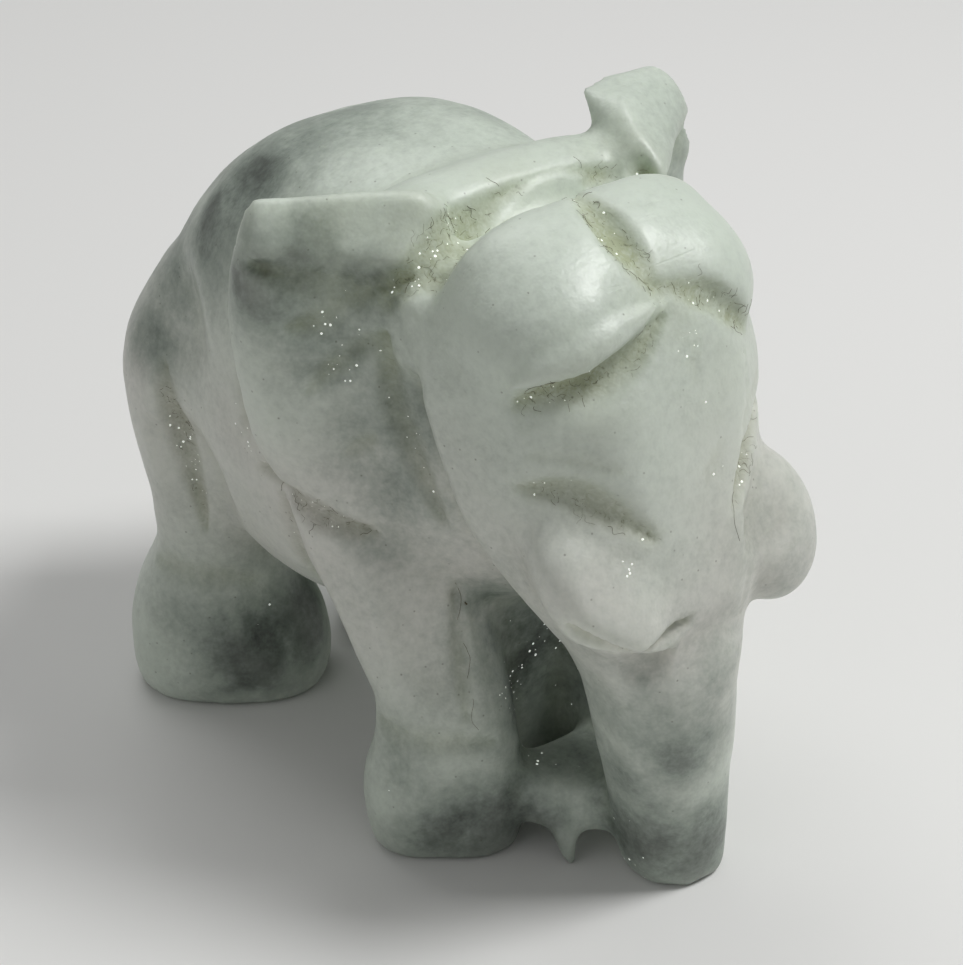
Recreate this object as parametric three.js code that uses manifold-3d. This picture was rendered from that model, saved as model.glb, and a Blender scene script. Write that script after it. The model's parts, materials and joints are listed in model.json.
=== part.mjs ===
// A small elephant carved from one pebble of jadeite. It stands on four clubbed feet and the tip of its
// trunk, with swept-back ears, two brow domes, short tusks and gouge cuts for the eyes and the joints.
// Millimetres, +Z up. It faces -Y, its right flank is -X, and it stands on Z = 0 with the origin under
// the middle of its length and width.
import * as THREE from 'three';
import { mergeVertices } from 'three/addons/utils/BufferGeometryUtils.js';
import Module from 'manifold-3d';

const wasm = await Module();
wasm.setup();

// Driving sizes in millimetres. Half widths and half lengths are named so.
const barrel = { front: -14, rear: 27.5, halfWidth: 13.6, back: 45, belly: 11.2 };
const head = { crown: 46.8, halfWidth: 12.2, nose: -22.2, depth: 16.2 };
const trunk = { tipHalf: 3.3, rootHalf: 5.2, rootHeight: 18, axis: -17.4, rootLean: 0.5, tipLean: 2.7 };
const dome = { halfWidth: 6.1, halfLength: 6.8, halfHeight: 5.5 };
const rightTusk = { halfWidth: 4, halfLength: 3, halfHeight: 6.2 };
const leftTusk = { halfWidth: 4.5, halfLength: 3.4, halfHeight: 5.7 };
const ear = { reach: 17.5, foot: 25.2, top: 46.9 };
const earRoot = { halfWidth: 2.2, halfLength: 2.2, halfHeight: 3.4 };
const earDish = { halfWidth: 5.4, halfDepth: 2.8, halfHeight: 5 };
const collar = { halfLength: 11, halfThick: 3.8, top: 46, foot: 30.4, middle: -0.9 };
const hindLeg = { side: 8.1, along: 19.3, halfLength: 7.1, halfWidth: 5.4, top: 34, lean: 0.7, spread: 0.3 };
const foreLeg = { side: 7.5, along: -5.6, halfLength: 5.4, halfWidth: 4.1, top: 33, lean: 5.6, spread: 1 };
const breast = { halfWidth: 4, halfThick: 2.4, foot: 2.5, top: 26, middle: -3.4 };
const web = { foot: 2.4, top: 5.8, halfWidth: 5.5, flare: 0.9 };
const fin = { side: -3.2, along: -13.8, halfThick: 0.3, top: 3 };
const tailHalf = 1.9;
const napeCut = 2.1;
const crownCut = 1.25;
const browCut = 1.7;
const farBrowCut = 1.3;
const eyeCut = 1.3;
const lipCut = 1.3;
const jointCut = 1.25;
const fineCut = 0.8;

// Angles in radians.
const legTurn = 0.66;
const earTurn = 0.83;

const stone = new THREE.MeshStandardMaterial({ color: 0xa9b5a6, roughness: 0.35, metalness: 0 });

function solid(geometry) {
  const bare = geometry.clone();
  bare.deleteAttribute('normal');
  bare.deleteAttribute('uv');
  const merged = mergeVertices(bare, 1e-4);
  return new wasm.Manifold(new wasm.Mesh({
    numProp: 3,
    vertProperties: new Float32Array(merged.attributes.position.array),
    triVerts: new Uint32Array(merged.index.array),
  }));
}

// A closed skin over rings of equally many points, each ring anticlockwise seen from the last one.
function skin(rings) {
  const sides = rings[0].length;
  const positions = rings.flat().flatMap((p) => [p.x, p.y, p.z]);
  const index = [];
  for (let r = 0; r + 1 < rings.length; r++) {
    for (let s = 0; s < sides; s++) {
      const a = r * sides + s;
      const b = r * sides + (s + 1) % sides;
      index.push(a, b, b + sides, a, b + sides, a + sides);
    }
  }
  for (const [ring, first, flip] of [[rings[0], 0, true], [rings.at(-1), (rings.length - 1) * sides, false]]) {
    const centre = ring.reduce((sum, p) => sum.add(p), new THREE.Vector3()).divideScalar(sides);
    const hub = positions.length / 3;
    positions.push(centre.x, centre.y, centre.z);
    for (let s = 0; s < sides; s++) {
      const a = first + s;
      const b = first + (s + 1) % sides;
      index.push(...(flip ? [hub, b, a] : [hub, a, b]));
    }
  }
  const geometry = new THREE.BufferGeometry();
  geometry.setAttribute('position', new THREE.Float32BufferAttribute(positions, 3));
  geometry.setIndex(index);
  return solid(geometry);
}

// Places from the first station to the last, closer together at both ends, and the smooth row at each.
function along(stations, rings) {
  const places = stations.map((row) => row[0]);
  const values = stations.flatMap((row) => row.slice(1));
  const smooth = new THREE.CubicInterpolant(places, values, stations[0].length - 1);
  return Array.from({ length: rings + 1 }, (_, r) => {
    const share = (1 - Math.cos(Math.PI * r / rings)) / 2;
    const at = THREE.MathUtils.lerp(places[0], places.at(-1), share);
    return [at, ...smooth.evaluate(at)];
  });
}

const laid = {
  x: (u, v, at) => new THREE.Vector3(at, u, v),
  y: (u, v, at) => new THREE.Vector3(u, at, v),
  z: (u, v, at) => new THREE.Vector3(u, v, at),
};

// Rounded sections. Stations are rows of [place, centre, centre, half size, half size, squareness].
function stack(stations, { axis = 'z', turn = 0, sides = 20, rings = 15 } = {}) {
  return skin(along(stations, rings).map(([at, cu, cv, hu, hv, square]) => {
    const rounded = (f) => Math.sign(f) * Math.abs(f) ** (2 / square);
    const ring = Array.from({ length: sides }, (_, s) => {
      const angle = 2 * Math.PI * s / sides;
      const u = hu * rounded(Math.cos(angle));
      const v = hv * rounded(Math.sin(angle));
      const x = cu + u * Math.cos(turn) - v * Math.sin(turn);
      const y = cv + u * Math.sin(turn) + v * Math.cos(turn);
      return laid[axis](x, y, at);
    });
    return axis === 'y' ? ring.reverse() : ring;
  }));
}

// Faceted sections. Stations are rows of [height, x, y, x, y ...], the corners anticlockwise from above,
// and each corner is eased by this share of the sides that meet there.
function block(stations, { ease = 0.22, steps = 3, rings = 12 } = {}) {
  return skin(along(stations, rings).map(([at, ...flat]) => {
    const corners = [];
    for (let i = 0; i < flat.length; i += 2) corners.push(new THREE.Vector3(flat[i], flat[i + 1], at));
    return corners.flatMap((corner, k) => {
      const from = corner.clone().lerp(corners.at(k - 1), ease);
      const to = corner.clone().lerp(corners[(k + 1) % corners.length], ease);
      return new THREE.QuadraticBezierCurve3(from, corner, to).getPoints(steps);
    });
  }));
}

function ball(centre, { halfWidth, halfLength, halfHeight }, [rx, ry, rz] = [0, 0, 0], detail = 16) {
  const geometry = new THREE.SphereGeometry(1, detail, Math.round(detail * 0.6));
  geometry.applyMatrix4(new THREE.Matrix4().compose(
    centre,
    new THREE.Quaternion().setFromEuler(new THREE.Euler(rx, ry, rz)),
    new THREE.Vector3(halfWidth, halfLength, halfHeight),
  ));
  return solid(geometry);
}

// A spindle along a curve, thickest in the middle: a gouge cut, or the tail.
function spindle(points, radius, { sides = 8, rings = 12, tip = 0.12, fullness = 0.7 } = {}) {
  const curve = new THREE.CatmullRomCurve3(points);
  const frames = curve.computeFrenetFrames(rings, false);
  return skin(Array.from({ length: rings + 1 }, (_, r) => {
    const centre = curve.getPointAt(r / rings);
    const size = radius * Math.max(tip, Math.sin(Math.PI * r / rings) ** fullness);
    return Array.from({ length: sides }, (__, s) => {
      const angle = 2 * Math.PI * s / sides;
      return centre.clone()
        .addScaledVector(frames.normals[r], size * Math.cos(angle))
        .addScaledVector(frames.binormals[r], size * Math.sin(angle));
    });
  }));
}

// Places in a mass, as shares of its own sizes.
const inHead = ([x, y, z]) => new THREE.Vector3(
  x * head.halfWidth,
  head.nose + y * head.depth,
  THREE.MathUtils.lerp(trunk.rootHeight, head.crown, z),
);
const inBarrel = ([x, y, z]) => new THREE.Vector3(
  x * barrel.halfWidth,
  THREE.MathUtils.lerp(barrel.front, barrel.rear, y),
  THREE.MathUtils.lerp(barrel.belly, barrel.back, (1 + z) / 2),
);
const inEar = ([x, y, z]) => new THREE.Vector3(
  x * ear.reach,
  y * ear.reach,
  THREE.MathUtils.lerp(ear.foot, ear.top, z),
);

// Rows of [share of the length, width, height, rise of the middle, squareness].
function barrelMass() {
  const halfHeight = (barrel.back - barrel.belly) / 2;
  const rows = [
    [0, 0.29, 0.35, 0.1, 2.1],
    [0.12, 0.63, 0.65, 0.1, 2.2],
    [0.265, 0.85, 0.86, 0.08, 2.3],
    [0.434, 0.955, 0.99, 0.02, 2.5],
    [0.6, 1, 1, 0, 2.5],
    [0.77, 0.935, 0.875, -0.03, 2.4],
    [0.904, 0.72, 0.65, -0.12, 2.1],
    [1, 0.33, 0.32, -0.25, 2],
  ];
  return stack(rows.map(([share, width, height, rise, square]) => {
    const middle = inBarrel([0, share, rise]);
    return [middle.y, middle.x, middle.z, width * barrel.halfWidth, height * halfHeight, square];
  }), { axis: 'y', sides: 30, rings: 18 });
}

// Eight-cornered sections from the tip of the trunk to the crown. The trunk's rows follow its taper.
// The head's rows are [height, half width and place back of the nape, the jaw, the cheek and the front].
function headMass() {
  const around = [[0.45, 0.95], [1, 0.42], [1, -0.42], [0.45, -0.98]];
  const section = (height, middle, corners) => {
    const right = corners.map(([x, y]) => [middle - x, y]);
    const left = corners.map(([x, y]) => [middle + x, y]).reverse();
    return [height, ...right.flat(), ...left.flat()];
  };
  const trunkRows = [0, 0.28, 0.64, 1].map((share) => {
    const half = THREE.MathUtils.lerp(trunk.tipHalf, trunk.rootHalf, share);
    const middle = THREE.MathUtils.lerp(trunk.tipLean, trunk.rootLean, share);
    const corners = around.map(([x, y]) => [x * half, trunk.axis + y * half]);
    return section(share * trunk.rootHeight, middle, corners);
  });
  const headRows = [
    [0.1, 0.37, 0.69, 0.6, 0.44, 0.52, 0.21, 0.26, 0],
    [0.31, 0.5, 0.88, 0.87, 0.67, 0.7, 0.32, 0.35, 0.04],
    [0.52, 0.57, 1, 0.975, 0.78, 0.8, 0.41, 0.39, 0.12],
    [0.625, 0.57, 1, 1, 0.86, 0.82, 0.44, 0.39, 0.16],
    [0.745, 0.57, 1, 0.93, 0.91, 0.8, 0.54, 0.39, 0.23],
    [0.87, 0.57, 0.95, 0.8, 0.86, 0.72, 0.605, 0.38, 0.33],
    [0.96, 0.49, 0.88, 0.67, 0.81, 0.59, 0.64, 0.3, 0.47],
    [1, 0.33, 0.8, 0.41, 0.78, 0.37, 0.69, 0.16, 0.6],
  ].map(([z, ...flat]) => {
    const corners = [];
    for (let i = 0; i < flat.length; i += 2) {
      const place = inHead([flat[i], flat[i + 1], z]);
      corners.push([place.x, place.y]);
    }
    return section(inHead([0, 0, z]).z, trunk.rootLean * Math.min(1, 2 * (1 - z)), corners);
  });
  return block([...trunkRows, ...headRows], { rings: 25, steps: 2 });
}

// Plans of an ear at seven heights, in shares of its reach: rear and front of the rim, front and rear
// of the root. The left ear keeps a fifth corner, the hook that overhangs the shoulder.
function earMass(side) {
  const right = [
    [0, 0.81, 0.14, 0.72, -0.17, 0.4, -0.46, 0.51, 0.06],
    [0.13, 0.89, 0.205, 0.86, 0, 0.39, -0.51, 0.46, 0],
    [0.36, 0.94, 0.24, 0.95, 0.035, 0.39, -0.525, 0.34, 0],
    [0.635, 0.965, 0.257, 1, 0.057, 0.38, -0.5, 0.29, 0],
    [0.82, 0.97, 0.205, 1, 0.023, 0.38, -0.46, 0.23, 0],
    [0.93, 0.95, 0.16, 0.965, 0.057, 0.34, -0.32, 0.29, -0.1],
    [1, 0.92, 0.126, 0.915, 0.09, 0.42, -0.23, 0.4, -0.18],
  ];
  const left = [
    [0, 0.81, 0.14, 0.72, -0.17, 0.4, -0.46, 0.51, 0.06, 0.63, 0.14],
    [0.13, 0.89, 0.205, 0.86, 0, 0.39, -0.51, 0.46, 0, 0.69, 0.15],
    [0.36, 0.94, 0.24, 0.96, 0.023, 0.39, -0.525, 0.34, 0, 0.63, 0.15],
    [0.635, 0.97, 0.257, 1.03, 0.023, 0.4, -0.5, 0.34, -0.06, 0.63, 0.125],
    [0.83, 0.97, 0.217, 1.034, 0.006, 0.54, -0.4, 0.42, -0.17, 0.65, 0.114],
    [0.94, 0.95, 0.166, 0.99, 0.023, 0.56, -0.27, 0.49, -0.02, 0.69, 0.137],
    [1.015, 0.9, 0.137, 0.92, 0.057, 0.57, -0.09, 0.525, 0.114, 0.71, 0.166],
  ];
  const rows = (side < 0 ? right : left).map(([z, ...flat]) => {
    const corners = [];
    for (let i = 0; i < flat.length; i += 2) {
      const place = inEar([side * flat[i], flat[i + 1], z]);
      corners.push([place.x, place.y]);
    }
    if (side > 0) corners.reverse();
    return [inEar([0, 0, z]).z, ...corners.flat()];
  });
  return block(rows, { ease: 0.16 });
}

// The ridge across the nape that ties the ears together.
function collarMass() {
  const rows = [[-1, 0.88], [-0.55, 0.98], [0, 0.99], [0.55, 0.94], [1, 0.82]];
  const halfHeight = (collar.top - collar.foot) / 2;
  return stack(rows.map(([share, size]) => [
    share * collar.halfLength,
    collar.middle,
    collar.foot + halfHeight,
    size * collar.halfThick,
    size * halfHeight,
    2.6,
  ]), { axis: 'x', sides: 18, rings: 6 });
}

// Rows of [height, half length, half width, spread, lean, squareness], as shares of the leg's sizes.
function legMass(leg, side, rows) {
  return stack(rows.map(([height, length, width, spread, lean, square]) => [
    height * leg.top,
    side * (leg.side + spread * leg.spread),
    leg.along + lean * leg.lean,
    length * leg.halfLength,
    width * leg.halfWidth,
    square,
  ]), { turn: side * legTurn });
}

const hindRows = [
  [0, 0.94, 0.89, -0.3, -0.3, 2.5],
  [0.045, 1, 0.98, -0.3, -0.3, 2.5],
  [0.15, 0.99, 1.02, 0, 0, 2.3],
  [0.25, 0.82, 0.91, 1, 0.4, 2.2],
  [0.32, 0.68, 0.81, 0.3, 0, 2.1],
  [0.44, 0.69, 0.93, 0.3, 0, 2],
  [0.65, 0.83, 1.2, 0.3, 1, 2],
  [0.82, 0.82, 1.2, 0, 1, 2],
  [1, 0.54, 0.89, -3, -0.4, 2],
];

const foreRows = [
  [0, 0.91, 0.88, -0.1, 0, 3],
  [0.045, 0.96, 0.95, 0, 0, 2.8],
  [0.135, 1, 1, 0.2, 0, 2.5],
  [0.24, 0.89, 0.93, -0.1, -0.03, 2.4],
  [0.3, 0.83, 0.88, -0.3, -0.03, 2.4],
  [0.42, 0.89, 0.95, -0.1, 0.3, 2.5],
  [0.575, 0.96, 1.07, 0.5, 0.64, 2.5],
  [0.73, 1.11, 1.02, 1, 0.93, 2.6],
  [0.88, 1.07, 0.88, 0.9, 1, 2.6],
  [1, 0.81, 0.63, 0.9, 1, 2.3],
];

// The wall of stone left between the forelegs, wider where it meets the chest.
function breastMass() {
  const rows = [[0, 1, 0.92, 0], [0.32, 1, 1, 0], [0.66, 1.5, 1.67, 0.4], [1, 1.75, 2.5, -0.6]];
  return stack(rows.map(([share, width, thick, back]) => [
    THREE.MathUtils.lerp(breast.foot, breast.top, share),
    0,
    breast.middle + back,
    width * breast.halfWidth,
    thick * breast.halfThick,
    2.6,
  ]), { sides: 16, rings: 6 });
}

// The low web that ties the trunk to both forefeet, and the sliver left standing in front of it.
function webMass() {
  const behind = foreLeg.along - foreLeg.halfWidth / 2;
  const toe = foreLeg.along - 1.5 * foreLeg.halfWidth;
  const lip = trunk.axis + trunk.tipHalf / 2;
  const rows = [[0, 0], [0.7, 0.35], [1, 1]].map(([share, cutBack]) => [
    THREE.MathUtils.lerp(web.foot, web.top, share),
    -web.halfWidth, behind,
    web.flare - web.halfWidth, toe + cutBack,
    trunk.tipLean - trunk.tipHalf, lip + cutBack,
    trunk.tipLean + trunk.tipHalf / 2, lip + cutBack,
    web.flare + web.halfWidth, toe + cutBack,
    web.halfWidth, behind,
  ]);
  return block(rows, { rings: 4 });
}

function finMass() {
  const rows = [[0, 1, 0], [1, 3, 0.9]].map(([share, spread, back]) => {
    const half = fin.halfThick * spread;
    return [
      share * fin.top,
      fin.side - half, fin.along + half + back,
      fin.side - half, fin.along - half + back,
      fin.side + half, fin.along - half + back,
      fin.side + half, fin.along + 2 * half + back,
    ];
  });
  return block(rows, { rings: 3, steps: 1 });
}

function masses() {
  const sides = [-1, 1];
  const tail = [[0, 0.904, 0.54], [0.06, 1, 0.16], [0.1, 1.02, -0.25], [0.13, 0.965, -0.63]];
  return [
    barrelMass(),
    headMass(),
    collarMass(),
    breastMass(),
    webMass(),
    finMass(),
    ball(inHead([-0.45, 0.23, 0.265]), rightTusk, [-0.62, -0.32, 0.1]),
    ball(inHead([0.68, 0.284, 0.225]), leftTusk, [-0.3, -0.35, 0.3]),
    spindle(tail.map(inBarrel), tailHalf),
    ...sides.flatMap((side) => [
      earMass(side),
      legMass(hindLeg, side, hindRows),
      legMass(foreLeg, side, foreRows),
      ball(inHead([0.37 * side, 0.67, 0.79]), dome, [0.2, 0.4 * side, 0], 18),
      ball(inHead([0.78 * side, 1.0, 0.74]), earRoot, [0, 0, 0], 10),
    ]),
  ];
}

function cuts() {
  const pair = (place, points, radius) => [1, -1].map((side) => (
    spindle(points.map(([x, y, z]) => place([x * side, y, z])), radius)
  ));
  const inForeLeg = ([x, y, z]) => new THREE.Vector3(
    x * (foreLeg.side + 0.15 * foreLeg.halfLength),
    foreLeg.along + y * foreLeg.halfWidth,
    z * foreLeg.top,
  );
  const nape = [
    [-0.9, 0.99, 0.85],
    [-0.62, 0.975, 0.93],
    [-0.2, 0.97, 0.98],
    [0.2, 0.97, 0.985],
    [0.62, 0.98, 0.96],
    [0.9, 0.96, 0.88],
  ];
  const crown = [[0, 0.815, 1.015], [-0.05, 0.57, 1], [-0.03, 0.38, 0.945], [0.02, 0.27, 0.87]];
  const rightBrow = [[0.05, 0.335, 0.87], [-0.13, 0.22, 0.8], [-0.46, 0.245, 0.72], [-0.79, 0.42, 0.675]];
  const leftBrow = [[0, 0.345, 0.89], [0.21, 0.27, 0.86], [0.41, 0.245, 0.8], [0.61, 0.295, 0.715]];
  const leftCheek = [[0.56, 0.245, 0.695], [0.43, 0.1, 0.485], [0.38, 0.025, 0.28], [0.34, 0, 0.105]];
  const eye = [[0.8, 0.42, 0.495], [0.62, 0.26, 0.495], [0.46, 0.125, 0.455], [0.26, 0.035, 0.385]];
  const lip = [
    [-0.61, 0.2, 0.09],
    [-0.46, 0.01, 0.03],
    [-0.22, -0.03, 0.05],
    [0.03, -0.02, 0.12],
    [0.25, 0, 0.11],
    [0.52, 0.12, 0.035],
  ];
  const underEar = [[0.89, 0.24, 0.08], [0.925, 0.045, 0.065], [0.82, -0.17, 0.025], [0.66, -0.34, -0.03]];
  const haunch = [[1.035, 0.75, -0.075], [1.02, 0.733, -0.285], [0.97, 0.72, -0.515], [0.88, 0.713, -0.775]];
  const elbow = [[1.045, 0.405, -0.2], [1.015, 0.424, -0.425], [0.955, 0.424, -0.66], [0.81, 0.419, -0.87]];
  const shin = [[1, -0.63, 0.6], [0.98, -0.73, 0.465], [1.02, -1.02, 0.33]];
  const dish = { halfWidth: earDish.halfWidth, halfLength: earDish.halfDepth, halfHeight: earDish.halfHeight };
  return [
    spindle(nape.map(inHead), napeCut),
    spindle(crown.map(inHead), crownCut),
    spindle(rightBrow.map(inHead), browCut),
    spindle(leftBrow.map(inHead), farBrowCut),
    spindle(leftCheek.map(inHead), fineCut),
    spindle(lip.map(inHead), lipCut),
    ...pair(inHead, eye, eyeCut),
    ...pair(inEar, underEar, jointCut),
    ...pair(inBarrel, haunch, jointCut),
    ...pair(inBarrel, elbow, jointCut),
    ...pair(inForeLeg, shin, fineCut),
    ...[1, -1].map((side) => ball(inEar([0.85 * side, -0.25, 0.66]), dish, [0, 0, earTurn * side])),
  ];
}

function geometryOf(made) {
  const mesh = made.getMesh();
  const geometry = new THREE.BufferGeometry();
  geometry.setAttribute('position', new THREE.BufferAttribute(mesh.vertProperties, 3));
  geometry.setIndex(new THREE.BufferAttribute(mesh.triVerts, 1));
  return geometry;
}

// Everything under the ground plane is sawn off, which leaves the feet and the trunk tip flat.
function groundSaw() {
  const reach = 4 * (barrel.rear - head.nose);
  return solid(new THREE.BoxGeometry(reach, reach, reach).translate(0, 0, -reach / 2));
}

const rough = masses().reduce((whole, mass) => whole.add(mass));
const carved = cuts().reduce((whole, cut) => whole.subtract(cut), rough);

const carving = new THREE.Group();
const elephant = new THREE.Mesh(geometryOf(carved.subtract(groundSaw())), stone);
elephant.name = 'elephant';
elephant.geometry.computeBoundingBox();
const middle = elephant.geometry.boundingBox.getCenter(new THREE.Vector3());
elephant.geometry.translate(-middle.x, -middle.y, 0);
carving.add(elephant);

export default carving;
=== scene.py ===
import json
import math

import bmesh
import bpy
import numpy as np
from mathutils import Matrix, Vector

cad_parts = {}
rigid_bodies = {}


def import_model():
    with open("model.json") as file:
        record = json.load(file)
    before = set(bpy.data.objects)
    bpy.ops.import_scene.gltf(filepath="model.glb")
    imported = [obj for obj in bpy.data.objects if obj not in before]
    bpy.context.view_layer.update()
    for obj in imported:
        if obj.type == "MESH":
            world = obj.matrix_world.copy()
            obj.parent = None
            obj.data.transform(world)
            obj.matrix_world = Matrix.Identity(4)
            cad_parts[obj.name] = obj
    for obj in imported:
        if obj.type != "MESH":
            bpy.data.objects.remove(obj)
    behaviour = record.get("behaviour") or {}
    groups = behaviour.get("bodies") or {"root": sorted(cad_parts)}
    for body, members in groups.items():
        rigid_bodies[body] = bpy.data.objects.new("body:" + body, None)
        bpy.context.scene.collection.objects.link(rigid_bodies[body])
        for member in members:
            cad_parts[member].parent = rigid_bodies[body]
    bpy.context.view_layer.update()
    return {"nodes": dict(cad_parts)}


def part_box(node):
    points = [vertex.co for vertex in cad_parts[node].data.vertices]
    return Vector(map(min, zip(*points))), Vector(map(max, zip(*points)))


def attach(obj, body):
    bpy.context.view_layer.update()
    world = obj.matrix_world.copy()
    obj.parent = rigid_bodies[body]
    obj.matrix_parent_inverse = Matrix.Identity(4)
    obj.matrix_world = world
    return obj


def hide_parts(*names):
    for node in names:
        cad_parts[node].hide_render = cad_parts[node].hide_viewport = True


mm = 0.001

for old in list(bpy.data.objects):
    bpy.data.objects.remove(old)
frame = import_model()
highest = np.array(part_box("elephant")[1]) / mm
datum = highest * (1, 1, 0) - (18.02, 30.26, 0)  # the left ear and the tail reach this far from the datum
print("frame loaded")


def smoothRoute(points, count=60):
    # a Catmull-Rom curve through the points, one more point mirrored past each end
    points = np.array(points, float)
    padded = np.vstack([2 * points[0] - points[1], points, 2 * points[-1] - points[-2]])
    place = np.linspace(0, len(points) - 1, count)
    start = np.minimum(place.astype(int), len(points) - 2)
    part = (place - start)[:, None]
    a, b, c, d = (padded[start + i] for i in range(4))
    square = 2 * a - 5 * b + 4 * c - d
    cube = 3 * b - a - 3 * c + d
    return 0.5 * (2 * b + (c - a) * part + square * part**2 + cube * part**3)


def lumps(points, size, seed):
    # value noise from -1 to 1: a hashed number at each lattice corner, eased between the corners
    spot = points / size + seed * 13.7
    corner = np.floor(spot).astype(np.int64)
    ease = spot - corner
    ease = ease * ease * (3 - 2 * ease)
    total = np.zeros(len(points))
    for step in np.ndindex(2, 2, 2):
        x, y, z = (corner + np.array(step)).T
        mixed = (x * 73856093) ^ (y * 19349663) ^ (z * 83492791) ^ (seed * 2654435)
        mixed = (mixed * 1103515245 + 12345) & 0x7FFFFFFF
        weight = np.prod(np.where(step, ease, 1 - ease), axis=1)
        total += weight * ((mixed >> 9) & 0xFFFF) / 32767.5
    return total - 1


class Skin:
    # the vertices, edges and four-sided faces of a closed surface as arrays, in millimetres from the datum
    def __init__(self, mesh):
        self.mesh = mesh
        flat = np.empty(len(mesh.vertices) * 3, np.float32)
        mesh.vertices.foreach_get("co", flat)
        self.points = flat.reshape(-1, 3).astype(float) / mm - datum
        pairs = np.empty(len(mesh.edges) * 2, np.int32)
        mesh.edges.foreach_get("vertices", pairs)
        pairs = pairs.reshape(-1, 2)
        self.ends = np.concatenate([pairs, pairs[:, ::-1]])
        self.degree = np.bincount(self.ends[:, 0], minlength=len(self.points)).astype(float)
        corners = np.empty(len(mesh.loops), np.int32)
        mesh.loops.foreach_get("vertex_index", corners)
        self.quads = corners.reshape(-1, 4)

    def spread(self, values, rounds, share=None):
        # each round moves every value half of the way to the mean of its neighbours
        values = values.copy()
        here, there = self.ends.T
        for _ in range(rounds):
            if values.ndim == 1:
                mean = np.bincount(here, values[there], len(values)) / self.degree
            else:
                columns = [np.bincount(here, values[there, k], len(values)) / self.degree for k in range(3)]
                mean = np.stack(columns, axis=1)
            move = 0.5 * (mean - values)
            if share is not None:
                move *= share if values.ndim == 1 else share[:, None]
            values += move
        return values

    def normals(self, points=None):
        # the cross products of each face's diagonals, added up at its corners and made one long
        points = self.points if points is None else points
        a, b, c, d = (points[self.quads[:, k]] for k in range(4))
        across = np.cross(c - a, d - b)
        total = np.zeros_like(points)
        for k in range(4):
            for axis in range(3):
                total[:, axis] += np.bincount(self.quads[:, k], across[:, axis], len(points))
        return total / np.maximum(np.linalg.norm(total, axis=1), 1e-12)[:, None]

    def write(self):
        # the moved vertices go back into the mesh, in metres
        placed = ((self.points + datum) * mm).astype(np.float32)
        self.mesh.vertices.foreach_set("co", placed.ravel())
        self.mesh.update()

    def keep(self, name, values):
        # one number from 0 to 1 a vertex, for the material to read
        layer = self.mesh.attributes.new(name, "FLOAT", "POINT")
        layer.data.foreach_set("value", np.clip(values, 0, 1).astype(np.float32))


carving = {
    "voxel": 0.352,  # edge of the fine surface's squares
    "rounding": 29,  # rounds that ease the solid's facets
    "edgeRounding": 4,  # the same on ridges and inside the gouge cuts, which stay crisp
    "softRounding": 65,  # the same at the soft spots
    "broadRounds": 22,  # rounds behind the broad direction of the surface
    "girthRounds": 36,  # rounds that spread the girth given back after easing
    "hollowRounds": 50,  # rounds that tell a hollow from a ridge
    "cutHold": 0.92,  # share of the easing that is held off near a cut
    "ridgeHold": 0.8,  # the same on a real ridge
    "flatShare": 0.8,  # share of the overhang that a ground flat takes away
    "ridgeBend": (0.06, 0.17),  # bends of the surface from a facet's edge to a real ridge
    "waviness": 0.11,  # hand-ground hollows of about 5 mm
    "chatter": 0.05,  # small cross ridges inside the cuts
    "chatterLength": 0.9,
    "fanDepth": (0.25, 0.1),  # mean and swing of the gouges that fan over the ears
    "grit": 0.035,  # broken grain where nothing is polished
    "ripple": 0.02,  # the file's marks that polishing left
}

# Each cut is its path, half width, extra depth and how dirty it is. Mirrored cuts are listed once.
singleCuts = [
    ([(-12.4, -5.2, 40.6), (-9.4, -6.2, 43.6), (-5, -6.5, 45.6), (0, -6.5, 46.4), (5, -6.4, 46.2),
      (9.6, -6.5, 44.6)],
     2.5, 0.35, 0.85),
    ([(0.1, -8, 47.3), (-0.6, -13, 46.8), (-0.4, -16, 45.2), (0.3, -18, 43)], 1.4, 0.3, 1),
    ([(0, -16.6, 43.6), (2.6, -17.8, 42.8), (5, -18.2, 41), (7.6, -17.2, 38.2)], 1.2, 0.2, 0.9),
    ([(0.2, -17.4, 41.8), (-2.1, -17.6, 40.1), (-4.8, -17.2, 39.2), (-7.9, -16.4, 38.6),
      (-9.3, -14.8, 37.6)],
     1.5, 0.45, 0.85),
    ([(6.8, -18.2, 38), (5.2, -20.6, 32), (4.6, -21.8, 26), (4.2, -22.2, 21)], 0.8, 0.12, 0.1),
    ([(-9, -19.8, 24.6), (-7.5, -21.7, 23), (-5.6, -22.8, 21.7), (-3, -22.6, 22.4), (-0.6, -22.3, 22.9)],
     1.1, 0.85, 0.15),
    ([(2.2, -18.2, 40.6), (1.6, -18.9, 39), (1.3, -19.5, 37)], 0.7, 0.08, 0.3),
    ([(2.6, -20.2, 33.4), (1.8, -20.6, 32), (0.9, -20.9, 31)], 0.8, 0.12, 0.4),
    ([(-15.6, -0.5, 38.7), (-13.7, -1.6, 39.4), (-12.3, -3.3, 40.6), (-10.4, -5.1, 42.2)],
     1.2, 0.35, 0.3),
    ([(-14.8, -1.3, 34.2), (-13.4, -2.6, 36.4), (-12.2, -3.7, 37.7), (-11.2, -5.1, 39)],
     1.1, 0.32, 0.3),
    ([(-12.9, -2.7, 30), (-12.2, -3.5, 30.8), (-11.5, -4.3, 31.6)], 0.9, 0.25, 0.35),
]
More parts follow.
